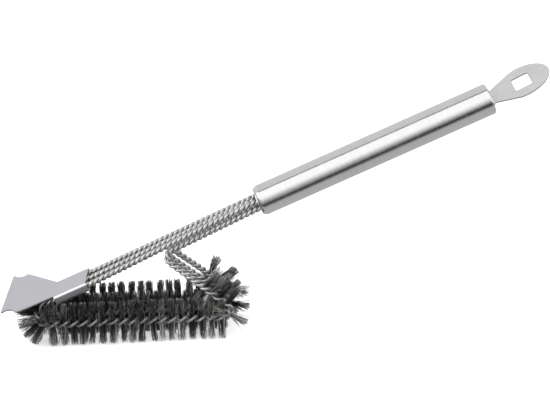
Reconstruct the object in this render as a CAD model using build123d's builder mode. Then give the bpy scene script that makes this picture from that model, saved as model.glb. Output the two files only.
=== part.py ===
import os
from math import cos, radians, sin, sqrt, tan

from build123d import *

# Lie of the tool: it stands on its bristles, and the handle rises towards +X
handle_tilt = 23.0  # degrees that the handle rises above the brushing face
handle_front_x = 100.0  # the handle's mouth, from the centre of the brushing face
handle_front_z = 105.7

# Handle tube
tube_length = 195.0
handle_diameter = 25.0
tube_wall = 0.9
mouth_step = 2.25  # how far the mouth is drawn in from the tube's side
mouth_lip = 0.8  # straight lip ahead of the shoulder
shoulder_length = 2.8

# End cap
cap_thickness = 2.4
cap_corner = 1.8
cap_skirt = 10.0
cap_skirt_wall = 1.0
slot_lip_height = 1.5
slot_lip_wall = 1.3

# Hanging tab
tab_roll = 52.5  # the tab is turned about the handle's axis
tab_lean = 3.5  # and leans up a little from it
tab_thickness = 1.8
tab_neck = 10.9
tab_neck_length = 1.7
tab_width = 23.2
tab_flare = 21.5  # from the cap to the shoulders, where the round end begins
tab_round_at = 27.5  # middle of the ellipse that rounds the end
tab_round_length = 22.0
tab_tongue = 18.0  # the part of the tab inside the handle
tab_edge = 0.3
hang_hole_length = 13.9
hang_hole_width = 9.2
hang_hole_at = 26.8  # centre of the hole, from the cap's face
hang_hole_corner = 1.2

# Stems: each is two wire strands twisted together
stem_diameter = 5.3
mouth_gap = 0.2  # between the outer stems and the mouth
mouth_upper = 2.6  # height of the upper row above the handle's axis, at the mouth
row_gap = 0.5  # between the two rows
stem_inside = 28.0  # how far the stems reach into the handle
stem_lead = 6.0  # straight stem in front of the mouth
stem_easing = 60.0  # radius of the slight bends at the mouth and behind the clip

# Plug that holds the stem ends inside the handle
plug_front = 6.0
plug_length = 18.0

# Scraper: one folded sheet, a blade and a clip round the upper row of stems
sheet = 1.0
clip_front = -177.5  # along the handle's axis, from the mouth
clip_length = 28.0
clip_spacing = 12.6  # between the stems in the clip
clip_drop = 1.7  # the upper row, below the handle's axis, in the clip
clip_fold = 2.4  # outer radius of the clip's folds
clip_lap = 5.0  # flat of each flange folded under the stems
blade_rise = 19.8  # degrees that the blade bends up from the clip
blade_length = 38.2
blade_tooth_at = 25.3
blade_tooth_width = 74.0
blade_front_width = 71.0
notch_at = 32.2
notch_radius = 4.4
notch_depth = 4.0
blade_corner = 0.8

# Brush head: three parallel runs of bristles on the stems' lower bends
bristle_reach = 16.7  # from the stem's middle to the tips
bristle_press = 0.3  # how much the surface presses the tips flat
run_spacing = 20.0
run_front = -75.1  # corner of each front bend
run_rear = 84.9  # corner of each rear bend
front_nose = -196.0  # foremost stretch of the front bends, along the handle's axis
front_nose_share = 0.68  # of the runs' spacing, there
front_upper_bend = 7.6
front_lower_bend = 6.6
rear_bend = 5.8
elbow_at = -85.2  # corner of the middle elbow under the shaft, along the handle's axis
elbow_stagger = 2.5  # each elbow is this much nearer the mouth than its near neighbour
elbow_drop = 5.3
elbow_spacing = 9.0
elbow_bend = 6.0
brushed_front = -66.0  # ends of the straight bristle bodies
brushed_rear = 62.0
rise_brushed = 18.0  # bristled length of each rising stem, past its bend
side_reach = 14.0  # bristles beside the outer stems at the bends
blade_gap = 1.5  # between the front bristles and the blade

# Clearances
plug_clearance = 0.05
bore_clearance = 0.1
clip_clearance = 0.3
slot_clearance = 0.2
bristle_clearance = 0.15
lane_gap = 0.3  # between neighbouring bristle bodies

handle_radius = handle_diameter / 2
tube_bore = handle_radius - tube_wall
mouth_radius = handle_radius - mouth_step
stem_radius = stem_diameter / 2
mouth_lower = mouth_upper - stem_diameter - row_gap
mouth_spacing = sqrt((mouth_radius - stem_radius - mouth_gap) ** 2 - mouth_lower**2)
front_nose_spacing = front_nose_share * run_spacing
cap_face = tube_length + cap_thickness
run_height = bristle_reach - bristle_press
sides = {"near": -1, "middle": 0, "far": 1}

os.makedirs("parts", exist_ok=True)


def save(builder, node_name):
    builder.part.label = node_name
    export_step(builder.part, f"parts/{node_name}.step")


# The handle's own frame: x along its axis towards the tail, z away from the brush head
tilt_cos = cos(radians(handle_tilt))
tilt_sin = sin(radians(handle_tilt))
shaft = Plane(
    origin=(handle_front_x, 0, handle_front_z),
    x_dir=(tilt_cos, 0, tilt_sin),
    z_dir=(-tilt_sin, 0, tilt_cos),
)
shaft_axis = Axis(shaft.origin, shaft.x_dir)
shaft_side = Plane(shaft.origin, x_dir=shaft.x_dir, z_dir=-shaft.y_dir)


def across(distance):
    """Plane across the handle's axis, its x across the tool and its y away from the brush head."""
    return Plane(shaft.from_local_coords((distance, 0, 0)), x_dir=shaft.y_dir, z_dir=shaft.x_dir)


# Handle tube, its front end drawn in to a lipped mouth
lip_radius = mouth_radius + tube_wall
with BuildPart() as handle_tube:
    with BuildSketch(shaft_side):
        with BuildLine():
            Line((0, mouth_radius), (0, lip_radius))
            Line((0, lip_radius), (mouth_lip, lip_radius))
            TangentArc(
                (mouth_lip + shoulder_length, handle_radius), (mouth_lip, lip_radius), tangent=(-1, 0)
            )
            Line((mouth_lip + shoulder_length, handle_radius), (tube_length, handle_radius))
            Line((tube_length, handle_radius), (tube_length, tube_bore))
            Line((tube_length, tube_bore), (mouth_lip + shoulder_length, tube_bore))
            TangentArc(
                (mouth_lip + shoulder_length, tube_bore), (mouth_lip, mouth_radius), tangent=(-1, 0)
            )
            Line((mouth_lip, mouth_radius), (0, mouth_radius))
        make_face()
    revolve(axis=shaft_axis)
save(handle_tube, "handle_tube")

# End cap: a round-edged disc with a skirt in the tube and a raised lip round the tab's slot
cap_plane = across(tube_length)
slot_length = tab_neck + 2 * slot_clearance
slot_width = tab_thickness + 2 * slot_clearance
with BuildPart() as end_cap:
    with BuildSketch(cap_plane):
        Circle(handle_radius)
    extrude(amount=cap_thickness)
    fillet(end_cap.edges().sort_by(shaft_axis)[-1], radius=cap_corner)
    with BuildSketch(cap_plane):
        Circle(tube_bore - plug_clearance)
        Circle(tube_bore - plug_clearance - cap_skirt_wall, mode=Mode.SUBTRACT)
    extrude(amount=-cap_skirt)
    with BuildSketch(across(cap_face)):
        SlotOverall(slot_length + 2 * slot_lip_wall, slot_width + 2 * slot_lip_wall, rotation=tab_roll)
    extrude(amount=slot_lip_height)
    fillet(end_cap.faces().sort_by(shaft_axis)[-1].edges(), radius=slot_lip_wall * 0.4)
    with BuildSketch(across(cap_face + slot_lip_height)):
        Rectangle(slot_length, slot_width, rotation=tab_roll)
    extrude(amount=-(cap_thickness + slot_lip_height), mode=Mode.SUBTRACT)
save(end_cap, "end_cap")

# Hanging tab: a flat tongue that widens to an oval end with a rounded hang hole
tab_along = shaft.x_dir * cos(radians(tab_lean)) + shaft.z_dir * sin(radians(tab_lean))
tab_up = shaft.z_dir * cos(radians(tab_lean)) - shaft.x_dir * sin(radians(tab_lean))
tab_plane = Plane(
    origin=shaft.from_local_coords((cap_face, 0, 0)),
    x_dir=tab_along,
    z_dir=tab_up * cos(radians(tab_roll)) - shaft.y_dir * sin(radians(tab_roll)),
)
tab_shoulder = tab_width / 2 * sqrt(1 - ((tab_round_at - tab_flare) / tab_round_length) ** 2)
with BuildPart() as hanging_tab:
    with BuildSketch(tab_plane.offset(-tab_thickness / 2)):
        with Locations((tab_round_at, 0)):
            Ellipse(tab_round_length, tab_width / 2)
        with Locations((tab_flare, 0)):
            Rectangle(
                2 * tab_round_length, tab_width, align=(Align.MIN, Align.CENTER), mode=Mode.INTERSECT
            )
        Polygon(
            (tab_neck_length, -tab_neck / 2),
            (tab_flare, -tab_shoulder),
            (tab_flare, tab_shoulder),
            (tab_neck_length, tab_neck / 2),
            align=None,
        )
        with Locations((-tab_tongue, 0)):
            Rectangle(tab_tongue + tab_neck_length, tab_neck, align=(Align.MIN, Align.CENTER))
        with Locations((hang_hole_at, 0)):
            RectangleRounded(hang_hole_length, hang_hole_width, hang_hole_corner, mode=Mode.SUBTRACT)
    extrude(amount=tab_thickness)
    chamfer(hanging_tab.faces().sort_by(Axis(tab_plane.origin, tab_plane.z_dir))[-1].edges(), tab_edge)
save(hanging_tab, "hanging_tab")


# Stems: handle, clip, front bend, brushed run, rear bend, rise, elbow and back into the handle
def along_shaft(distance, side_step, height):
    return shaft.from_local_coords((distance, side_step, height))


def elbow_corner(side):
    return along_shaft(elbow_at + side * elbow_stagger, side * elbow_spacing, -elbow_drop)


def stem_corners(side):
    corners = [
        along_shaft(stem_inside, side * mouth_spacing, mouth_upper),
        along_shaft(-stem_lead, side * mouth_spacing, mouth_upper),
        along_shaft(clip_front + clip_length, side * clip_spacing, -clip_drop),
        along_shaft(clip_front, side * clip_spacing, -clip_drop),
        along_shaft(front_nose, side * front_nose_spacing, -clip_drop),
        Vector(run_front, side * run_spacing, run_height),
        Vector(run_rear, side * run_spacing, run_height),
        elbow_corner(side),
        along_shaft(-stem_lead, side * mouth_spacing, mouth_lower),
        along_shaft(stem_inside, side * mouth_spacing, mouth_lower),
    ]
    radii = [stem_easing, stem_easing, stem_easing, front_upper_bend, front_lower_bend, rear_bend,
             elbow_bend, stem_easing]
    if side == 0:
        del corners[3], radii[2]
    return corners, radii


def stem_route(side):
    corners, radii = stem_corners(side)
    return FilletPolyline(*corners, radius=radii)


def stem_section(side):
    start = along_shaft(stem_inside, side * mouth_spacing, mouth_upper)
    return Plane(start, x_dir=shaft.y_dir, z_dir=-shaft.x_dir)


stem_cores = {}
for side_name, side in sides.items():
    for strand_name, strand_turn in {"upper": 0, "lower": 180}.items():
        with BuildPart() as strand:
            with BuildLine():
                stem_route(side)
            with BuildSketch(stem_section(side)):
                Circle(stem_radius)
                Rectangle(
                    stem_diameter,
                    stem_diameter,
                    rotation=strand_turn,
                    align=(Align.CENTER, Align.MIN),
                    mode=Mode.INTERSECT,
                )
            sweep()
        save(strand, f"{side_name}_stem_{strand_name}_strand")
    with BuildPart() as stem_cores[side_name]:
        with BuildLine():
            stem_route(side)
        with BuildSketch(stem_section(side)):
            Circle(stem_radius + bristle_clearance)
        sweep()

# Plug with one bore for each stem end
with BuildPart() as stem_plug:
    with BuildSketch(across(plug_front)):
        Circle(tube_bore - plug_clearance)
        for row_height in (mouth_upper, mouth_lower):
            with Locations(*[(side * mouth_spacing, row_height) for side in sides.values()]):
                Circle(stem_radius + bore_clearance, mode=Mode.SUBTRACT)
    extrude(amount=plug_length)
save(stem_plug, "stem_plug")

# Scraper: the clip's folded section, then the blade with its two notches
clip_inner = stem_diameter + 2 * clip_clearance
clip_outer = clip_inner + 2 * sheet
clip_width = 2 * clip_spacing + clip_outer
clip_mouth = clip_width - clip_outer - 2 * clip_lap
crease = shaft_side.from_local_coords((clip_front, clip_outer / 2 - clip_drop))
rise_cos = cos(radians(blade_rise))
rise_sin = sin(radians(blade_rise))
blade_plane = Plane(
    origin=crease,
    x_dir=shaft.z_dir * rise_sin - shaft.x_dir * rise_cos,
    z_dir=shaft.z_dir * rise_cos + shaft.x_dir * rise_sin,
)
blade_side = Plane(crease, x_dir=-shaft.x_dir, z_dir=shaft.y_dir)
miter = sheet * tan(radians(blade_rise / 2))
blade_root = clip_width - clip_outer / 2
tooth_edge = blade_tooth_width / 2
notch_edge = tooth_edge - (blade_tooth_width - blade_front_width) / 4
with BuildPart() as scraper:
    with BuildSketch(across(clip_front)):
        with Locations((0, -clip_drop)):
            RectangleRounded(clip_width, clip_outer, clip_fold)
            RectangleRounded(clip_width - 2 * sheet, clip_inner, clip_fold - sheet, mode=Mode.SUBTRACT)
            Rectangle(clip_mouth, clip_outer, align=(Align.CENTER, Align.MAX), mode=Mode.SUBTRACT)
    extrude(amount=clip_length)
    with BuildPart(mode=Mode.PRIVATE) as blade:
        with BuildSketch(blade_side):
            Polygon(
                (0, 0),
                (blade_length * rise_cos, blade_length * rise_sin),
                (blade_length * rise_cos + sheet * rise_sin, blade_length * rise_sin - sheet * rise_cos),
                (miter, -sheet),
                (0, -sheet),
                align=None,
            )
        extrude(amount=blade_tooth_width / 2, both=True)
        with BuildSketch(blade_plane) as blade_outline:
            Polygon(
                (-sheet, -blade_root / 2),
                (0, -blade_root / 2),
                (blade_tooth_at, -tooth_edge),
                (blade_length, -blade_front_width / 2),
                (blade_length, blade_front_width / 2),
                (blade_tooth_at, tooth_edge),
                (0, blade_root / 2),
                (-sheet, blade_root / 2),
                align=None,
            )
            for edge in (-1, 1):
                with Locations((notch_at, edge * (notch_edge - notch_depth + notch_radius))):
                    Circle(notch_radius, mode=Mode.SUBTRACT)
            outer_corners = blade_outline.vertices().filter_by(
                lambda corner: corner.X > blade_tooth_at - sheet
            )
            fillet(outer_corners, radius=blade_corner)
        extrude(amount=blade_length, both=True, mode=Mode.INTERSECT)
    add(blade.part)
save(scraper, "scraper")


# Bristles: plain bodies of the bristles' reach, bored for the stem. Neighbours share the space between
# two runs, and the outer bodies end at the bristles' reach on the runs and at side_reach on the bends.
half_lane = (run_spacing - lane_gap) / 2
front_center = along_shaft(front_nose + front_upper_bend, 0, -clip_drop - front_upper_bend)
blade_under = blade_plane.offset(-sheet - blade_gap)
clip_under = shaft.offset(-clip_drop - clip_outer / 2 - lane_gap)
tool_side = Plane(origin=(0, 0, 0), x_dir=(1, 0, 0), z_dir=(0, -1, 0))
beyond = 2 * run_rear  # longer than any bristle body


def lane(side, outer_reach):
    """Lowest and highest y of one run's bristles."""
    low = run_spacing * side - (outer_reach if side < 0 else half_lane)
    high = run_spacing * side + (outer_reach if side > 0 else half_lane)
    return low, high


for side_name, side in sides.items():
    run_low, run_high = lane(side, bristle_reach)
    with BuildPart() as run_bristles:
        with BuildSketch(Plane.YZ.offset(brushed_front)):
            with Locations((side * run_spacing, run_height)):
                Circle(bristle_reach)
            with Locations((run_low, 0)):
                Rectangle(run_high - run_low, beyond, align=(Align.MIN, Align.MIN), mode=Mode.INTERSECT)
        extrude(amount=brushed_rear - brushed_front)
        split(bisect_by=clip_under, keep=Keep.BOTTOM)
        add(stem_cores[side_name].part, mode=Mode.SUBTRACT)
    save(run_bristles, f"{side_name}_run_bristles")

    bend_low, bend_high = lane(side, side_reach)
    lane_plane = tool_side.offset(-bend_low)
    with BuildPart() as front_bristles:
        with BuildSketch(lane_plane):
            with Locations((front_center.X, front_center.Z)):
                Circle(front_upper_bend + bristle_reach)
            with Locations((brushed_front - lane_gap, 0)):
                Rectangle(beyond, beyond, align=(Align.MAX, Align.MIN), mode=Mode.INTERSECT)
        extrude(amount=-(bend_high - bend_low))
        split(bisect_by=blade_under, keep=Keep.BOTTOM)
        add(stem_cores[side_name].part, mode=Mode.SUBTRACT)
    save(front_bristles, f"{side_name}_front_bristles")

    rise_foot = Vector(run_rear, side * run_spacing, run_height)
    rise = elbow_corner(side) - rise_foot
    rise_angle = Vector(1, 0, 0).get_signed_angle(Vector(rise.X, 0, rise.Z), Vector(0, -1, 0))
    rear_back = rear_bend * tan(radians(rise_angle) / 2)
    with BuildPart() as rear_bristles:
        with BuildSketch(lane_plane):
            with Locations((run_rear - rear_back, run_height + rear_bend)):
                Circle(rear_bend + bristle_reach)
            with Locations((run_rear, run_height)):
                Rectangle(
                    rise_brushed + rear_back,
                    2 * bristle_reach,
                    rotation=rise_angle,
                    align=(Align.MIN, Align.CENTER),
                )
            Rectangle(beyond, beyond, align=(Align.CENTER, Align.MIN), mode=Mode.INTERSECT)
            with Locations((brushed_rear + lane_gap, run_height + bristle_reach + lane_gap)):
                Rectangle(beyond, beyond, align=(Align.MAX, Align.MAX), mode=Mode.SUBTRACT)
        extrude(amount=-(bend_high - bend_low))
        add(stem_cores[side_name].part, mode=Mode.SUBTRACT)
    save(rear_bristles, f"{side_name}_rear_bristles")
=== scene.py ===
from math import ceil, cos, floor, pi, radians, sin, tan
from random import Random

import bpy
from mathutils import Matrix, Vector


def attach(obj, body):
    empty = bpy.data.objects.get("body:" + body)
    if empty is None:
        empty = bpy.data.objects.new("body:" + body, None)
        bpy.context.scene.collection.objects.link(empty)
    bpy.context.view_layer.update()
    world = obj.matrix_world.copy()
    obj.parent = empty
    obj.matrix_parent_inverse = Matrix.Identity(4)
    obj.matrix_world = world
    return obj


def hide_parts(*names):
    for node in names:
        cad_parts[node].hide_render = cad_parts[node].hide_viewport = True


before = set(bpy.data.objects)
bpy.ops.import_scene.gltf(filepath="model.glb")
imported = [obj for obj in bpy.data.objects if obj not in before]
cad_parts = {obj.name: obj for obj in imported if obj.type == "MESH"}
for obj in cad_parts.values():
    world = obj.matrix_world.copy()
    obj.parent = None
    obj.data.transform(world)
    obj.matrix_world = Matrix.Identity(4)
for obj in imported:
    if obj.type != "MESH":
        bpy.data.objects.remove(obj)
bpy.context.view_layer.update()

print("frame loaded:", len(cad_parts), "nodes")
mm = 0.001


class Field:  # a node socket that takes part in sums
    def __init__(self, finish, socket):
        self.finish = finish
        self.socket = socket

    def combine(self, operation, first, second):
        made = self.finish.node("ShaderNodeMath", {"operation": operation}, {0: first, 1: second})
        return Field(self.finish, made.outputs[0])

    def __add__(self, other):
        return self.combine("ADD", self, other)

    def __radd__(self, other):
        return self.combine("ADD", other, self)

    def __sub__(self, other):
        return self.combine("SUBTRACT", self, other)

    def __rsub__(self, other):
        return self.combine("SUBTRACT", other, self)

    def __mul__(self, other):
        return self.combine("MULTIPLY", self, other)

    def __rmul__(self, other):
        return self.combine("MULTIPLY", other, self)

    def __truediv__(self, other):
        return self.combine("DIVIDE", self, other)

    def __rtruediv__(self, other):
        return self.combine("DIVIDE", other, self)

    def __pow__(self, other):
        return self.combine("POWER", self, other)

    def __rpow__(self, other):
        return self.combine("POWER", other, self)


class Shading:  # makes the nodes of one shader tree
    def __init__(self, owner):
        owner.use_nodes = True
        self.tree = owner.node_tree

    def feed(self, socket, value):
        if isinstance(value, Field):
            self.tree.links.new(value.socket, socket)
        elif hasattr(value, "is_output"):
            self.tree.links.new(value, socket)
        else:
            socket.default_value = value

    def node(self, kind, settings=None, sockets=None):
        made = self.tree.nodes.new(kind)
        for name, value in (settings or {}).items():
            if name == "stops":
                ramp = made.color_ramp.elements
                while len(ramp) < len(value):
                    ramp.new(0.5)
                for stop, (place, colour) in zip(ramp, value):
                    stop.position = place
                    stop.color = colour
            else:
                setattr(made, name, value)
        for name, value in (sockets or {}).items():
            self.feed(made.inputs[name], value)
        return made

    def value(self, kind, settings=None, sockets=None, output=0):
        return Field(self, self.node(kind, settings, sockets).outputs[output])


class Finish(Shading):  # one material
    def __init__(self, name):
        self.material = bpy.data.materials.new(name)
        super().__init__(self.material)
        self.shader = self.tree.nodes["Principled BSDF"]

    def place(self, centre=(0, 0, 0), turn=(0, 0, 0), scale=(1, 1, 1)):
        # object coordinates, moved to centre, turned and then scaled
        coordinates = self.node("ShaderNodeTexCoord").outputs["Object"]
        moved = self.node("ShaderNodeVectorMath", {"operation": "SUBTRACT"}, {0: coordinates, 1: centre})
        turned = self.node("ShaderNodeVectorRotate", {"rotation_type": "EULER_XYZ"},
                           {"Vector": moved.outputs[0], "Rotation": turn})
        scaled = self.node("ShaderNodeVectorMath", {"operation": "MULTIPLY"},
                           {0: turned.outputs[0], 1: scale})
        return scaled.outputs[0]

    def noise(self, vector, scale=1.0, detail=3.0, roughness=0.5):
        return self.value("ShaderNodeTexNoise", None,
                          {"Vector": vector, "Scale": scale, "Detail": detail, "Roughness": roughness})

    def remap(self, value, low, high, outLow, outHigh):
        return self.value("ShaderNodeMapRange", None,
                          {"Value": value, "From Min": low, "From Max": high,
                           "To Min": outLow, "To Max": outHigh})

    def tint(self, factor, dark, light):
        mixed = self.node("ShaderNodeMix", {"data_type": "RGBA"}, {0: factor, 6: dark, 7: light})
        return mixed.outputs[2]

    def bump(self, height, strength, distance):
        made = self.node("ShaderNodeBump", None,
                         {"Height": height, "Strength": strength, "Distance": distance})
        return made.outputs[0]

    def set(self, **sockets):
        for name, value in sockets.items():
            self.feed(self.shader.inputs[name.replace("_", " ")], value)


# the handle's own frame
lie = {
    "tilt": 23.0,  # degrees that the handle rises
    "mouth": (100.0, 0.0, 105.7),  # mm, centre of the handle's mouth
}
tilt = radians(lie["tilt"])
shaftAxis = Vector((cos(tilt), 0, sin(tilt)))
shaftUp = Vector((-sin(tilt), 0, cos(tilt)))
acrossAxis = Vector((0, 1, 0))
mouth = Vector(lie["mouth"])
shaftTurn = (0.0, tilt, 0.0)  # turns object coordinates so that x runs along the handle


def alongShaft(distance, side, height):
    return mouth + shaftAxis * distance + acrossAxis * side + shaftUp * height


studio = {
    "eye": (62.2, -889.3, 421.9),  # mm
    "forward": (0.0537, 0.939, -0.3389),
    "roll": -1.2,  # degrees
    "lens": 78.5,
    "sensor": 36.0,
    "farClip": 50.0,  # m
    "floorReach": 7.0,  # m
    "floorDark": (0.89, 0.89, 0.89, 1),
    "floorLight": (0.9, 0.9, 0.9, 1),
    "floorGrain": 900.0,
    "floorRough": 0.9,
    "floorGlow": 0.5,
    # light of the sky, by degrees over the top from the front horizon to the back one
    "sky": ((0, 0.60, 1.0), (5, 0.80, 1.0), (12, 1.08, 1.0), (19, 1.32, 1.0), (28, 1.55, 1.0), (79, 1.55, 1.0),
            (81, 0.12, 1.0), (86, 0.12, 1.0), (90, 0.88, 1.03), (180, 0.88, 1.03)),
    # light of the card that only reflections see, by how flat the look down at it is
    "card": ((0.0, 0.62), (0.85, 0.60), (1.15, 0.34), (1.5, 0.10), (2.1, 0.05), (3.1, 0.16), (5.3, 0.34),
             (8.0, 0.52)),
    "cardHeight": 0.0002,  # m
    "cardLowest": 0.03,  # m, the lowest part of the handle's line that the card follows
    "keyPower": 7.0,
    "keySize": 0.7,
    "keyPlace": (-1.2, -0.5, 1.0),
}


def makeCamera():
    camera = bpy.data.objects.new("camera", bpy.data.cameras.new("camera"))
    camera.data.lens = studio["lens"]
    camera.data.sensor_width = studio["sensor"]
    camera.data.clip_end = studio["farClip"]
    turn = Vector(studio["forward"]).to_track_quat("-Z", "Y").to_matrix().to_4x4()
    camera.matrix_world = (Matrix.Translation(Vector(studio["eye"]) * mm) @ turn
                           @ Matrix.Rotation(radians(studio["roll"]), 4, "Z"))
    bpy.context.collection.objects.link(camera)
    bpy.context.scene.camera = camera


def makePlane(name, height, material):
    reach = studio["floorReach"]
    mesh = bpy.data.meshes.new(name)
    mesh.from_pydata([(-reach, -reach, height), (reach, -reach, height),
                      (reach, reach, height), (-reach, reach, height)], [], [(0, 1, 2, 3)])
    mesh.materials.append(material)
    plane = bpy.data.objects.new(name, mesh)
    bpy.context.collection.objects.link(plane)
    return plane


def makeFloor():
    paper = Finish("floorPaper")
    grain = paper.noise(paper.place(), scale=studio["floorGrain"])
    paper.set(Base_Color=paper.tint(grain, studio["floorDark"], studio["floorLight"]),
              Roughness=studio["floorRough"],
              Emission_Color=(studio["floorGlow"],) * 3 + (1,), Emission_Strength=1.0)
    makePlane("floor", 0.0, paper.material)


def makeCard():
    # a graded card for the steel to mirror, its dark part following the rise of the handle
    card = Finish("reflectionCard")
    split = card.node("ShaderNodeSeparateXYZ", None, {0: card.place()})
    across, along = Field(card, split.outputs[0]), Field(card, split.outputs[1])
    rise = tan(radians(lie["tilt"]))
    height = (across - lie["mouth"][0] * mm) * rise + lie["mouth"][2] * mm
    height = card.value("ShaderNodeMath", {"operation": "MAXIMUM"}, {0: height, 1: studio["cardLowest"]})
    flatness = (along * -1) / height
    flattest = studio["card"][-1][0]
    stops = [(place / flattest, (light, light, light, 1)) for place, light in studio["card"]]
    ramp = card.node("ShaderNodeValToRGB", {"stops": stops}, {0: flatness * (1 / flattest)})
    card.set(Base_Color=(0, 0, 0, 1), Specular_IOR_Level=0.0, Emission_Color=ramp.outputs[0],
             Emission_Strength=1.0)
    plane = makePlane("reflectionCard", studio["cardHeight"], card.material)
    plane.visible_camera = False
    plane.visible_diffuse = False
    plane.visible_shadow = False
    plane.visible_transmission = False


def makeSky():
    world = bpy.data.worlds.new("studioSky")
    bpy.context.scene.world = world
    sky = Shading(world)
    direction = sky.node("ShaderNodeTexCoord").outputs["Generated"]
    split = sky.node("ShaderNodeSeparateXYZ", None, {0: direction})
    ahead = Field(sky, split.outputs["Y"]) * -1.0
    rise = sky.value("ShaderNodeMath", {"operation": "ARCTAN2"}, {0: split.outputs["Z"], 1: ahead})
    share = sky.value("ShaderNodeMapRange", None, {"Value": rise, "From Min": 0.0, "From Max": pi})
    brightest = max(light * blue for angle, light, blue in studio["sky"])
    stops = [(angle / 180, (light / brightest, light / brightest, light * blue / brightest, 1))
             for angle, light, blue in studio["sky"]]
    ramp = sky.node("ShaderNodeValToRGB", {"stops": stops}, {0: share})
    background = sky.tree.nodes["Background"]
    sky.feed(background.inputs["Color"], ramp.outputs["Color"])
    background.inputs["Strength"].default_value = brightest


def makeKey():
    light = bpy.data.lights.new("keyLight", "AREA")
    light.energy = studio["keyPower"]
    light.size = studio["keySize"]
    lamp = bpy.data.objects.new("keyLight", light)
    lamp.location = studio["keyPlace"]
    lamp.rotation_euler = (-Vector(studio["keyPlace"])).to_track_quat("-Z", "Y").to_euler()
    bpy.context.collection.objects.link(lamp)


makeCamera()
makeFloor()
makeCard()
makeSky()
makeKey()
bpy.context.scene.view_settings.view_transform = "Standard"
print("studio ready")

handleFinish = {
    "dark": (0.595, 0.59, 0.59, 1),
    "light": (0.655, 0.65, 0.65, 1),
    "roughLow": 0.05,
    "roughHigh": 0.25,
    "grain": (950, 34, 34),  # rings round the handle
    "fineGrain": (3600, 120, 120),
    "ripple": (700, 230, 230),
    "rippleDepth": 0.0007,  # m
    "rippleStrength": 0.13,
    "cloud": (12, 30, 30),
}


def handleSteel():
    # fine rings round the handle, which spread what it reflects across the brushing
    steel = Finish("handleSteel")
    centre = tuple(mouth * mm)
    coarse = steel.noise(steel.place(centre, shaftTurn, handleFinish["grain"]), detail=2.0)
    fine = steel.noise(steel.place(centre, shaftTurn, handleFinish["fineGrain"]), detail=3.0)
    streak = coarse * 0.65 + fine * 0.35
    ripple = steel.noise(steel.place(centre, shaftTurn, handleFinish["ripple"]), detail=2.0)
    cloud = steel.noise(steel.place(centre, shaftTurn, handleFinish["cloud"]), detail=2.0)
    steel.set(
        Base_Color=steel.tint(steel.remap(streak, 0.3, 0.7, 0.0, 1.0),
                              handleFinish["dark"], handleFinish["light"]),
        Metallic=1.0,
        Roughness=steel.remap(streak * 0.85 + cloud * 0.15, 0.36, 0.64, handleFinish["roughLow"],
                              handleFinish["roughHigh"]),
        Normal=steel.bump(ripple, handleFinish["rippleStrength"], handleFinish["rippleDepth"]),
    )
    return steel.material


sheetFinish = {
    "cloud": 90.0,
    "roughRange": 0.06,  # either way
    "grainDepth": 0.0001,  # m
    "grainStrength": 0.05,
    "tab": {"dark": (0.36, 0.36, 0.364, 1), "light": (0.44, 0.44, 0.445, 1), "rough": 0.3,
            "grain": (60, 2500, 2500), "turn": shaftTurn},  # brushed along the handle
    "scraper": {"dark": (0.525, 0.525, 0.545, 1), "light": (0.585, 0.585, 0.607, 1), "rough": 0.36,
                "grain": (900, 900, 900), "turn": (0, 0, 0)},
    "plug": {"dark": (0.35, 0.35, 0.36, 1), "light": (0.5, 0.5, 0.5, 1), "rough": 0.4,
             "grain": (800, 800, 800), "turn": (0, 0, 0)},
}


def sheetSteel(name):
    kind = sheetFinish[name]
    steel = Finish(name + "Steel")
    grain = steel.noise(steel.place(tuple(mouth * mm), kind["turn"], kind["grain"]), detail=4.0)
    cloud = steel.noise(steel.place(), scale=sheetFinish["cloud"], detail=2.0)
    rough, spread = kind["rough"], sheetFinish["roughRange"]
    steel.set(
        Base_Color=steel.tint(steel.remap(grain * 0.7 + cloud * 0.3, 0.35, 0.65, 0.0, 1.0),
                              kind["dark"], kind["light"]),
        Metallic=1.0,
        Roughness=steel.remap(grain * 0.6 + cloud * 0.4, 0.3, 0.7, rough - spread, rough + spread),
        Normal=steel.bump(grain, sheetFinish["grainStrength"], sheetFinish["grainDepth"]),
    )
    return steel.material


wireFinish = {
    "dark": (0.36, 0.36, 0.355, 1),
    "light": (0.62, 0.62, 0.61, 1),
    # darker wire among the bristles: soil and painted shade
    "brushedDark": (0.20, 0.20, 0.195, 1),
    "brushedLight": (0.44, 0.435, 0.425, 1),
    "rough": (0.30, 0.48),
    "metal": 0.9,
    "grain": 2600.0,
    "cloud": 260.0,
    "grainDepth": 0.0001,  # m
    "grainStrength": 0.08,
}


def wireSteel():
    # drawn wire, duller and darker where it runs through the bristles: partly soil, partly painted shade and
    # painted reflection of the dark bristles
    steel = Finish("stemWire")
    grain = steel.noise(steel.place(), scale=wireFinish["grain"], detail=3.0)
    cloud = steel.noise(steel.place(), scale=wireFinish["cloud"], detail=2.0)
    mixed = steel.remap(grain * 0.5 + cloud * 0.5, 0.3, 0.7, 0.0, 1.0)
    soil = steel.value("ShaderNodeAttribute", {"attribute_name": "soil"}, None, 2)
    clean = steel.tint(mixed, wireFinish["dark"], wireFinish["light"])
    soiledAndShaded = steel.tint(mixed, wireFinish["brushedDark"], wireFinish["brushedLight"])
    steel.set(
        Base_Color=steel.tint(soil, clean, soiledAndShaded),
        Metallic=wireFinish["metal"],
        Roughness=steel.remap(mixed, 0.0, 1.0, *wireFinish["rough"]),
        Normal=steel.bump(grain, wireFinish["grainStrength"], wireFinish["grainDepth"]),
    )
    return steel.material


bristleFinish = {
    "dark": (0.034, 0.034, 0.033, 1),
    "light": (0.85, 0.84, 0.82, 1),
    "rough": (0.5, 0.28),
    "metal": 0.9,
    "glintPower": 7.0,  # the higher, the fewer bright bristles
    "glintRoot": 0.6,
    "glintTip": 0.6,
    # brighter towards the tips: painted shade towards the roots, and polish at the tips
    "tipPower": 3.0,
    "tipLight": 0.4,
}


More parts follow.
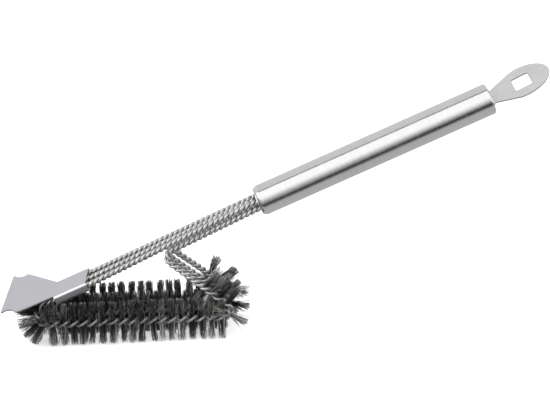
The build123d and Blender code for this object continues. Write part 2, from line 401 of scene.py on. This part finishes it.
def bristleSteel():
    # most bristles are dark, a few catch the light, and all are brighter towards the tips: painted shade deep
    # in the tuft towards the roots, and the tips' own polish
    steel = Finish("bristleWire")
    tone = steel.value("ShaderNodeAttribute", {"attribute_name": "tone"}, None, 2)
    share = steel.value("ShaderNodeAttribute", {"attribute_name": "share"}, None, 2)
    glint = share * bristleFinish["glintTip"] + bristleFinish["glintRoot"]
    tip = share ** bristleFinish["tipPower"] * bristleFinish["tipLight"]
    shade = tone ** bristleFinish["glintPower"] * glint + tip * tone
    steel.set(
        Base_Color=steel.tint(shade, bristleFinish["dark"], bristleFinish["light"]),
        Metallic=bristleFinish["metal"],
        Roughness=steel.remap(tone, 0.0, 1.0, *bristleFinish["rough"]),
    )
    return steel.material


def paint(nodeName, material):
    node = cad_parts[nodeName]
    if not node.data.materials:
        node.data.materials.append(material)
    for index in range(len(node.data.materials)):
        node.data.materials[index] = material
    for slot in node.material_slots:
        slot.material = material


handleMaterial = handleSteel()
wireMaterial = wireSteel()
bristleMaterial = bristleSteel()
paint("handle_tube", handleMaterial)
paint("end_cap", handleMaterial)
paint("hanging_tab", sheetSteel("tab"))
paint("scraper", sheetSteel("scraper"))
paint("stem_plug", sheetSteel("plug"))
print("finishes ready")

brush = {
    "bristles": 290,  # in a tuft, both ways together
    "quickShare": 0.3,
    "reach": 16.7,  # mm from the stem's middle to the tips
    "reachSpread": 4.5,
    "radius": 0.17,
    "points": 5,  # along a bristle
    "sides": 3,
    "fan": {"front": 80.0, "run": 80.0, "rear": 52.0},  # degrees either side, at the most
    "halfWidth": {"front": 1.7, "run": 2.3, "rear": 1.5},  # of a tuft along the stem
    "narrowing": 0.1,  # share of that width lost between the root and the tip
    "tipSpread": {"front": 2.4, "run": 1.5, "rear": 3.0},
    "shortPower": 3.0,  # the higher, the fewer short bristles
    "stray": 3.5,
    "strayPower": 12.0,  # the higher, the fewer stray bristles
    "bend": 1.3,
    "tone": 0.85,  # brightest of the plain bristles
    "edgeGlint": 0.35,  # the outer bristles of a tuft catch more light
    "edgePower": 5.0,
    "seed": 11,
    "fullness": (0.5, 0.8, 1.0, 1.0, 1.1, 1.15),
    "glint": (-0.05, 0.0, 0.05, 0.12, 0.28),
    "extraGlint": {"front": 0.02, "run": 0.02, "rear": 0.12},
    "slant": {"front": 12, "run": 12, "rear": 34},  # degrees either side, of a whole tuft
    "lean": {"front": 0.7, "run": 0.7, "rear": 1.6},  # mm along the stem
    "inner": {"front": 0.4, "run": 0.5, "rear": 0.42},  # share of a tuft inside the stem's loop
    "amount": {"front": 0.62, "run": 1.0, "rear": 0.66},
    "frontLead": 5.0,  # mm of brushed stem before the front corner
    "rearLead": 30.0,  # mm of brushed stem after the rear corner
    "frontStep": 2.4,  # mm between the smaller tufts on the front bends
}
# the clip and the blade, which press the bristles under them
sheets = {
    "clipFront": -177.5,  # mm along the handle's axis
    "clipLength": 28.0,
    "clipTop": 2.25,
    "clipBottom": -5.65,
    "clipHalf": 16.55,  # halves of widths
    "bladeRise": 19.8,  # degrees off the handle's axis
    "bladeRoot": 14.6,
    "bladeFront": 51.8,
    "bladeLength": 38.2,
    "thickness": 1.0,
    "margin": 0.3,
}
clipRear = sheets["clipFront"] + sheets["clipLength"]
bladeUnderside = sheets["clipTop"] - sheets["thickness"] - sheets["margin"]
bladeAngle = radians(sheets["bladeRise"])
bladeSheet = {
    "origin": alongShaft(sheets["clipFront"], 0, bladeUnderside),
    "normal": shaftUp * cos(bladeAngle) + shaftAxis * sin(bladeAngle),
    "forward": shaftUp * sin(bladeAngle) - shaftAxis * cos(bladeAngle),
    "length": sheets["bladeLength"],
    "rootHalf": sheets["bladeRoot"],
    "frontHalf": sheets["bladeFront"],
}
clipSheet = {
    "origin": alongShaft(clipRear, 0, sheets["clipBottom"] - sheets["margin"]),
    "normal": shaftUp,
    "forward": -shaftAxis,
    "length": sheets["clipLength"],
    "rootHalf": sheets["clipHalf"],
    "frontHalf": sheets["clipHalf"],
}

stem = {
    "mouthSpacing": 6.67,
    "mouthUpper": 2.6,
    "mouthLower": -3.2,
    "inside": 28.0,
    "lead": 6.0,
    "easing": 60.0,
    "clipSpacing": 12.6,
    "clipDrop": 1.7,
    "runSpacing": 20.0,
    "runHeight": 16.4,
    "runFront": -75.1,
    "runRear": 84.9,
    "noseAt": -196.0,
    "noseSpacing": 13.6,
    "upperBend": 7.6,
    "lowerBend": 6.6,
    "rearBend": 5.8,
    "elbowAt": -85.2,
    "elbowStagger": 2.5,
    "elbowDrop": 5.3,
    "elbowSpacing": 9.0,
    "elbowBend": 6.0,
    "middleSwerve": -2.6,  # the middle stem rises close beside the near one
    "step": 0.4,  # mm between points along a stem
    "wireRadius": 1.32,
    "bareSpread": 1.32,  # each strand's middle from the stem's middle
    "brushedSpread": 1.85,
    "riseSpread": 1.6,
    "barePitch": 9.2,  # mm for a whole turn
    "brushedPitch": 15.6,
    "risePitch": 10.0,
    "change": 8.0,  # mm along which the twist changes
    "sides": 10,
}
lanes = {
    "near": {"side": -1, "laidAt": -50.3},  # laidAt is where one tuft stands on the run
    "middle": {"side": 0, "laidAt": -40.0},
    "far": {"side": 1, "laidAt": -21.2},
}


def stemCorners(side):
    swerve = stem["middleSwerve"] if side == 0 else 0.0
    corners = [
        alongShaft(stem["inside"], side * stem["mouthSpacing"], stem["mouthUpper"]),
        alongShaft(-stem["lead"], side * stem["mouthSpacing"], stem["mouthUpper"]),
        alongShaft(clipRear, side * stem["clipSpacing"], -stem["clipDrop"]),
        alongShaft(sheets["clipFront"], side * stem["clipSpacing"], -stem["clipDrop"]),
        alongShaft(stem["noseAt"], side * stem["noseSpacing"], -stem["clipDrop"]),
        Vector((stem["runFront"], side * stem["runSpacing"], stem["runHeight"])),
        Vector((stem["runRear"], side * stem["runSpacing"] + swerve, stem["runHeight"])),
        alongShaft(stem["elbowAt"] + side * stem["elbowStagger"], side * stem["elbowSpacing"] + swerve,
                   -stem["elbowDrop"]),
        alongShaft(-stem["lead"], side * stem["mouthSpacing"], stem["mouthLower"]),
        alongShaft(stem["inside"], side * stem["mouthSpacing"], stem["mouthLower"]),
    ]
    radii = [stem["easing"], stem["easing"], stem["easing"], stem["upperBend"], stem["lowerBend"],
             stem["rearBend"], stem["elbowBend"], stem["easing"]]
    return corners, radii


def roundedRoute(corners, radii, step):
    # straight runs joined by tangent arcs, as evenly spaced points
    route = [corners[0]]

    def walk(end):
        start = route[-1]
        count = max(1, ceil((end - start).length / step))
        for index in range(1, count + 1):
            route.append(start.lerp(end, index / count))

    for before, corner, after, radius in zip(corners, corners[1:], corners[2:], radii):
        arrive = (corner - before).normalized()
        leave = (after - corner).normalized()
        turn = arrive.angle(leave)
        if turn < 1e-4:
            continue
        back = radius * tan(turn / 2)
        walk(corner - arrive * back)
        inward = (leave - arrive * arrive.dot(leave)).normalized()
        centre = corner - arrive * back + inward * radius
        count = max(2, ceil(radius * turn / step))
        for index in range(1, count + 1):
            angle = turn * index / count
            route.append(centre + radius * (arrive * sin(angle) - inward * cos(angle)))
    walk(corners[-1])
    return route


def blendStep(value, low, high):
    share = min(1.0, max(0.0, (value - low) / (high - low)))
    return share * share * (3 - 2 * share)


def stemProfile(side, laidAt):
    # points along one stem with their frame, the strands' turn and their spread
    corners, radii = stemCorners(side)
    route = roundedRoute(corners, radii, stem["step"])
    distances = [0.0]
    for before, after in zip(route, route[1:]):
        distances.append(distances[-1] + (after - before).length)

    def distanceTo(place):
        return distances[min(range(len(route)), key=lambda index: (route[index] - place).length)]

    brushStart = distanceTo(corners[4]) - brush["frontLead"]
    brushEnd = distanceTo(corners[6]) + brush["rearLead"]
    elbow = distanceTo(corners[7])
    change = stem["change"]
    rows = []
    turn = 0.0
    for index, point in enumerate(route):
        ahead = route[min(index + 1, len(route) - 1)] - route[max(index - 1, 0)]
        along = ahead.normalized()
        across = (acrossAxis - along * acrossAxis.dot(along)).normalized()
        travelled = distances[index]
        brushed = (blendStep(travelled, brushStart - change, brushStart)
                   * (1 - blendStep(travelled, brushEnd - change, brushEnd)))
        rising = (blendStep(travelled, brushEnd - change, brushEnd)
                  * (1 - blendStep(travelled, elbow, elbow + change)))

        def shared(bare, inBrush, inRise):
            return bare + (inBrush - bare) * brushed + (inRise - bare) * rising

        if index:  # left-handed
            pitch = shared(stem["barePitch"], stem["brushedPitch"], stem["risePitch"])
            turn -= 2 * pi * (travelled - distances[index - 1]) / pitch
        # the brushed share also paints the wire darker: soil, and painted shade of the bristles around it
        rows.append({"place": point, "along": along, "across": across, "away": along.cross(across),
                     "turn": turn,
                     "spread": shared(stem["bareSpread"], stem["brushedSpread"], stem["riseSpread"]),
                     "soil": brushed, "travelled": travelled})
    runRows = [row for row in rows if abs(row["place"].z - stem["runHeight"]) < 0.01]
    shift = min(runRows, key=lambda row: abs(row["place"].x - laidAt))["turn"]
    for row in rows:
        row["turn"] -= shift
    return rows, brushStart, brushEnd


def pointMesh(name, rows, fields, edges=True):
    # a mesh of points that carries one named value or vector for each of them
    mesh = bpy.data.meshes.new(name)
    links = [(index, index + 1) for index in range(len(rows) - 1)] if edges else []
    mesh.from_pydata([row["place"] * mm for row in rows], links, [])
    for field in fields:
        sample = rows[0][field]
        if isinstance(sample, Vector):
            attribute = mesh.attributes.new(field, "FLOAT_VECTOR", "POINT")
            attribute.data.foreach_set("vector", [part for row in rows for part in row[field]])
        else:
            attribute = mesh.attributes.new(field, "FLOAT", "POINT")
            attribute.data.foreach_set("value", [row[field] for row in rows])
    piece = bpy.data.objects.new(name, mesh)
    bpy.context.collection.objects.link(piece)
    return piece


# values that only the growing of the brush needs
growthOnly = ("along", "across", "away", "aim", "sag", "turn", "spread", "amount", "slant", "inner",
              "rootSpread", "lean", "glint")


class Grower:  # one geometry node tree, made node by node
    def __init__(self, name, inputs):
        self.tree = bpy.data.node_groups.new(name, "GeometryNodeTree")
        face = self.tree.interface
        face.new_socket("Geometry", in_out="INPUT", socket_type="NodeSocketGeometry")
        self.sockets = {}
        for label, kind, start in inputs:
            socket = face.new_socket(label, in_out="INPUT", socket_type=kind)
            if start is not None:
                socket.default_value = start
            self.sockets[label] = socket.identifier
        face.new_socket("Geometry", in_out="OUTPUT", socket_type="NodeSocketGeometry")
        self.start = self.tree.nodes.new("NodeGroupInput")
        self.end = self.tree.nodes.new("NodeGroupOutput")

    def given(self, label):
        return self.start.outputs[label]

    def node(self, kind, settings=None, sockets=None):
        made = self.tree.nodes.new(kind)
        for name, value in (settings or {}).items():
            setattr(made, name, value)
        for name, value in (sockets or {}).items():
            if hasattr(value, "is_output"):
                self.tree.links.new(value, made.inputs[name])
            else:
                made.inputs[name].default_value = value
        return made

    def math(self, operation, first, second=0.0):
        return self.node("ShaderNodeMath", {"operation": operation}, {0: first, 1: second}).outputs[0]

    def vector(self, operation, first, second=(0, 0, 0)):
        return self.node("ShaderNodeVectorMath", {"operation": operation}, {0: first, 1: second}).outputs[0]

    def dot(self, vector, direction):
        made = self.node("ShaderNodeVectorMath", {"operation": "DOT_PRODUCT"},
                         {0: vector, 1: tuple(direction)})
        return made.outputs["Value"]

    def scaled(self, vector, factor):
        made = self.node("ShaderNodeVectorMath", {"operation": "SCALE"}, {0: vector, "Scale": factor})
        return made.outputs[0]

    def read(self, name, kind):
        return self.node("GeometryNodeInputNamedAttribute", {"data_type": kind}, {"Name": name}).outputs[0]

    def store(self, geometry, name, kind, value):
        made = self.node("GeometryNodeStoreNamedAttribute", {"data_type": kind, "domain": "POINT"},
                         {"Geometry": geometry, "Name": name, "Value": value})
        return made.outputs[0]

    def chance(self, low, high, seed):
        # a random number for each bristle, its seed counted from the tree's own
        made = self.node("FunctionNodeRandomValue", {"data_type": "FLOAT"}, {2: low, 3: high})
        shifted = self.math("ADD", self.given("Seed"), seed)
        self.tree.links.new(shifted, made.inputs["Seed"])
        return made.outputs[1]

    def bell(self, seed):
        # roughly normal, from -1 to 1
        total = self.chance(-1.0, 1.0, seed)
        for extra in (1, 2):
            total = self.math("ADD", total, self.chance(-1.0, 1.0, seed + extra))
        return self.math("DIVIDE", total, 3.0)

    def close(self, geometry):
        self.tree.links.new(geometry, self.end.inputs[0])


def grow(piece, grower, values):
    # runs the tree on piece and leaves its result as a plain mesh
    modifier = piece.modifiers.new("grow", "NODES")
    modifier.node_group = grower.tree
    for label, value in values.items():
        modifier[grower.sockets[label]] = value
    bpy.context.view_layer.update()
    evaluated = piece.evaluated_get(bpy.context.evaluated_depsgraph_get())
    mesh = bpy.data.meshes.new_from_object(evaluated)
    piece.modifiers.clear()
    piece.data = mesh
    for attribute in list(mesh.attributes):  # the ones that the finishes read stay
        if attribute.name in growthOnly:
            mesh.attributes.remove(attribute)
    return piece


def strandTree():
    grower = Grower("twistStrand", [
        ("Wire Radius", "NodeSocketFloat", stem["wireRadius"] * mm),
        ("Start Turn", "NodeSocketFloat", 0.0),
        ("Sides", "NodeSocketInt", stem["sides"]),
        ("Material", "NodeSocketMaterial", None),
    ])
    turn = grower.math("ADD", grower.read("turn", "FLOAT"), grower.given("Start Turn"))
    spread = grower.read("spread", "FLOAT")
    sideways = grower.scaled(grower.read("across", "FLOAT_VECTOR"),
                             grower.math("MULTIPLY", grower.math("COSINE", turn), spread))
    upwards = grower.scaled(grower.read("away", "FLOAT_VECTOR"),
                            grower.math("MULTIPLY", grower.math("SINE", turn), spread))
    offset = grower.scaled(grower.vector("ADD", sideways, upwards), mm)
    wound = grower.node("GeometryNodeSetPosition", None,
                        {"Geometry": grower.given("Geometry"), "Offset": offset})
    line = grower.node("GeometryNodeMeshToCurve", None, {"Mesh": wound.outputs[0]})
    ring = grower.node("GeometryNodeCurvePrimitiveCircle", None,
                       {"Resolution": grower.given("Sides"), "Radius": grower.given("Wire Radius")})
    wire = grower.node("GeometryNodeCurveToMesh", None,
                       {"Curve": line.outputs[0], "Profile Curve": ring.outputs[0], "Fill Caps": True})
    smooth = grower.node("GeometryNodeSetShadeSmooth", None, {"Geometry": wire.outputs[0]})
    whole = grower.node("GeometryNodeRealizeInstances", None, {"Geometry": smooth.outputs[0]})
    coated = grower.node("GeometryNodeSetMaterial", None,
                         {"Geometry": whole.outputs[0], "Material": grower.given("Material")})
    grower.close(coated.outputs[0])
    return grower


def sheetPress(grower, point, sheet):
    # a point above the sheet, within its outline, is pressed down to its underside
    origin = grower.vector("SUBTRACT", point, tuple(sheet["origin"] * mm))
    height = grower.dot(origin, sheet["normal"])
    ahead = grower.dot(origin, sheet["forward"])
    side = grower.math("ABSOLUTE", grower.dot(origin, acrossAxis))
    slope = (sheet["frontHalf"] - sheet["rootHalf"]) / sheet["length"]
    half = grower.math("ADD", grower.math("MULTIPLY", ahead, slope), sheet["rootHalf"] * mm)
    inside = grower.math("MULTIPLY", grower.math("GREATER_THAN", ahead, -mm),
                         grower.math("LESS_THAN", ahead, sheet["length"] * mm))
    inside = grower.math("MULTIPLY", inside, grower.math("LESS_THAN", side, half))
    over = grower.math("MULTIPLY", grower.math("MAXIMUM", height, 0.0), inside)
    return grower.vector("SUBTRACT", point, grower.scaled(tuple(sheet["normal"]), over))


def bristleTree():
    grower = Grower("bristleTuft", [
        ("Reach", "NodeSocketFloat", brush["reach"] * mm),
        ("Reach Spread", "NodeSocketFloat", brush["reachSpread"] * mm),
        ("Bristle Radius", "NodeSocketFloat", brush["radius"] * mm),
        ("Fan", "NodeSocketFloat", radians(brush["fan"]["run"])),
        ("Tip Spread", "NodeSocketFloat", brush["tipSpread"]["run"] * mm),
        ("Bend", "NodeSocketFloat", brush["bend"] * mm),
        ("Seed", "NodeSocketInt", brush["seed"]),
        ("Material", "NodeSocketMaterial", None),
    ])
    stations = grower.node("GeometryNodeMeshToPoints", None, {"Mesh": grower.given("Geometry")})
    copies = grower.node("GeometryNodeDuplicateElements", {"domain": "POINT"},
                         {"Geometry": stations.outputs[0], "Amount": grower.read("amount", "FLOAT")})
    along = grower.read("along", "FLOAT_VECTOR")
    across = grower.read("across", "FLOAT_VECTOR")
    away = grower.read("away", "FLOAT_VECTOR")
    angle = grower.math("ADD", grower.math("MULTIPLY", grower.bell(10), grower.given("Fan")),
                        grower.read("slant", "FLOAT"))
    inwards = grower.math("SUBTRACT", grower.read("inner", "FLOAT"), grower.chance(0.0, 1.0, 20))
    straightOut = grower.math("MULTIPLY", grower.math("COSINE", angle), grower.math("SIGN", inwards))
    out = grower.vector("ADD", grower.scaled(away, straightOut),
                        grower.scaled(across, grower.math("SINE", angle)))
    shorter = grower.math("POWER", grower.chance(0.0, 1.0, 30), brush["shortPower"])
    reach = grower.math("SUBTRACT", grower.given("Reach"),
                        grower.math("MULTIPLY", shorter, grower.given("Reach Spread")))
    rank = grower.chance(-1.0, 1.0, 40)
    rootShift = grower.math("MULTIPLY", rank, grower.read("rootSpread", "FLOAT"))
    strayed = grower.math("POWER", grower.chance(0.0, 1.0, 35), brush["strayPower"])
    stray = grower.math("ADD", 1.0, grower.math("MULTIPLY", strayed, brush["stray"]))
    tipShift = grower.math("MULTIPLY", grower.bell(50), grower.given("Tip Spread"))
    tipShift = grower.math("MULTIPLY", tipShift, stray)
    tipShift = grower.math("ADD", tipShift, grower.math("MULTIPLY", rootShift, -brush["narrowing"]))
    tipShift = grower.math("ADD", tipShift, grower.read("lean", "FLOAT"))
    aim = grower.vector("ADD", grower.scaled(out, reach), grower.scaled(along, tipShift))
    bendAlong = grower.scaled(along, grower.math("MULTIPLY", grower.bell(60), grower.given("Bend")))
    bendAcross = grower.scaled(across, grower.math("MULTIPLY", grower.bell(70), grower.given("Bend")))
    sag = grower.vector("ADD", bendAlong, bendAcross)
    outer = grower.math("POWER", grower.math("ABSOLUTE", rank), brush["edgePower"])
    edge = grower.math("MULTIPLY", outer, brush["edgeGlint"])
    tone = grower.math("ADD", grower.chance(0.0, brush["tone"], 80), grower.read("glint", "FLOAT"))
    tone = grower.math("ADD", tone, edge)
    geometry = grower.store(copies.outputs[0], "aim", "FLOAT_VECTOR", aim)
    geometry = grower.store(geometry, "sag", "FLOAT_VECTOR", sag)
    geometry = grower.store(geometry, "tone", "FLOAT", tone)
    moved = grower.node("GeometryNodeSetPosition", None,
                        {"Geometry": geometry, "Offset": grower.scaled(along, rootShift)})
    line = grower.node("GeometryNodeCurvePrimitiveLine", None, {"Start": (0, 0, 0), "End": (0, 0, 1)})
    steps = grower.node("GeometryNodeResampleCurve", None,
                        {"Curve": line.outputs[0], "Count": brush["points"]})
    planted = grower.node("GeometryNodeInstanceOnPoints", None,
                          {"Points": moved.outputs[0], "Instance": steps.outputs[0]})
    hairs = grower.node("GeometryNodeRealizeInstances", None, {"Geometry": planted.outputs[0]})
    share = grower.node("GeometryNodeSplineParameter").outputs["Factor"]
    geometry = grower.store(hairs.outputs[0], "share", "FLOAT", share)
    share = grower.read("share", "FLOAT")
    place = grower.node("GeometryNodeInputPosition").outputs[0]
    lift = grower.node("ShaderNodeCombineXYZ", None, {"Z": share}).outputs[0]
    root = grower.vector("SUBTRACT", place, lift)
    straight = grower.scaled(grower.read("aim", "FLOAT_VECTOR"), share)
    curve = grower.scaled(grower.read("sag", "FLOAT_VECTOR"), grower.math("MULTIPLY", share, share))
    target = grower.vector("ADD", grower.vector("ADD", root, straight), curve)
    for sheet in (bladeSheet, clipSheet):
        target = sheetPress(grower, target, sheet)
    parts = grower.node("ShaderNodeSeparateXYZ", None, {0: target})
    height = grower.math("MAXIMUM", parts.outputs[2], grower.given("Bristle Radius"))
    kept = grower.node("ShaderNodeCombineXYZ", None,
                       {"X": parts.outputs[0], "Y": parts.outputs[1], "Z": height}).outputs[0]
    bent = grower.node("GeometryNodeSetPosition", None, {"Geometry": geometry, "Position": kept})
    ring = grower.node("GeometryNodeCurvePrimitiveCircle", None,
                       {"Resolution": brush["sides"], "Radius": grower.given("Bristle Radius")})
    wires = grower.node("GeometryNodeCurveToMesh", None,
                        {"Curve": bent.outputs[0], "Profile Curve": ring.outputs[0], "Fill Caps": True})
    whole = grower.node("GeometryNodeRealizeInstances", None, {"Geometry": wires.outputs[0]})
    coated = grower.node("GeometryNodeSetMaterial", None,
                         {"Geometry": whole.outputs[0], "Material": grower.given("Material")})
    grower.close(coated.outputs[0])
    return grower


strands = strandTree()
tufts = bristleTree()


def makeStrands(laneName, rows):
    for strandName, start in (("upper", 0.0), ("lower", pi)):
        piece = pointMesh(f"{laneName}Stem{strandName.title()}Strand", rows,
                          ("across", "away", "turn", "spread", "soil"))
        grow(piece, strands, {"Start Turn": start, "Material": wireMaterial})
        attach(piece, "root")
        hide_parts(f"{laneName}_stem_{strandName}_strand")


def tuft(row, draw, region):
    # one tuft's own habits: how full, how far it leans and how bright it is
    count = brush["bristles"] * 1.0
    fullness = draw.choice(brush["fullness"])
    slant = brush["slant"][region]
    return {**row, "amount": count * brush["amount"][region] * fullness, "inner": brush["inner"][region],
            "slant": radians(draw.uniform(-slant, slant)),
            "rootSpread": brush["halfWidth"][region] * mm * (0.6 + 0.4 * fullness),
            "lean": draw.gauss(0, brush["lean"][region]) * mm,
            "glint": brush["extraGlint"][region] + draw.choice(brush["glint"])}


def tuftStations(rows, brushStart, brushEnd, draw):
    # a tuft stands wherever the strands lie side by side, and the front bends have smaller ones between
    regions = {"front": [], "run": [], "rear": []}
    nextSmall = brushStart
    for before, after in zip(rows, rows[1:]):
        travelled, place = after["travelled"], after["place"]
        if not brushStart <= travelled <= brushEnd:
            continue
        crossing = floor(before["turn"] / pi) != floor(after["turn"] / pi)
        onRun = abs(place.z - stem["runHeight"]) < 0.5
        if onRun and crossing:
            regions["run"].append(tuft(after, draw, "run"))
        elif not onRun and place.x < 0 and travelled >= nextSmall:
            nextSmall += brush["frontStep"]
            regions["front"].append(tuft(after, draw, "front"))
        elif not onRun and place.x > 0 and crossing:
            regions["rear"].append(tuft(after, draw, "rear"))
    return regions


def makeBristles(laneName, regions, laneIndex):
    fields = ("along", "across", "away", "amount", "inner", "slant", "rootSpread", "lean", "glint")
    for number, (region, stations) in enumerate(regions.items()):
        piece = pointMesh(f"{laneName}{region.title()}Bristles", stations, fields, edges=False)
        grow(piece, tufts, {"Seed": brush["seed"] + 100 * laneIndex + 1000 * number,
                            "Fan": radians(brush["fan"][region]),
                            "Tip Spread": brush["tipSpread"][region] * mm, "Material": bristleMaterial})
        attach(piece, "root")
        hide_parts(f"{laneName}_{region}_bristles")
        print(laneName, region, len(stations), "tufts,", len(piece.data.polygons), "faces")


for laneIndex, (laneName, lane) in enumerate(lanes.items()):
    rows, brushStart, brushEnd = stemProfile(lane["side"], lane["laidAt"])
    makeStrands(laneName, rows)
    draw = Random(brush["seed"] + laneIndex)
    makeBristles(laneName, tuftStations(rows, brushStart, brushEnd, draw), laneIndex)
print("stems and bristles ready")
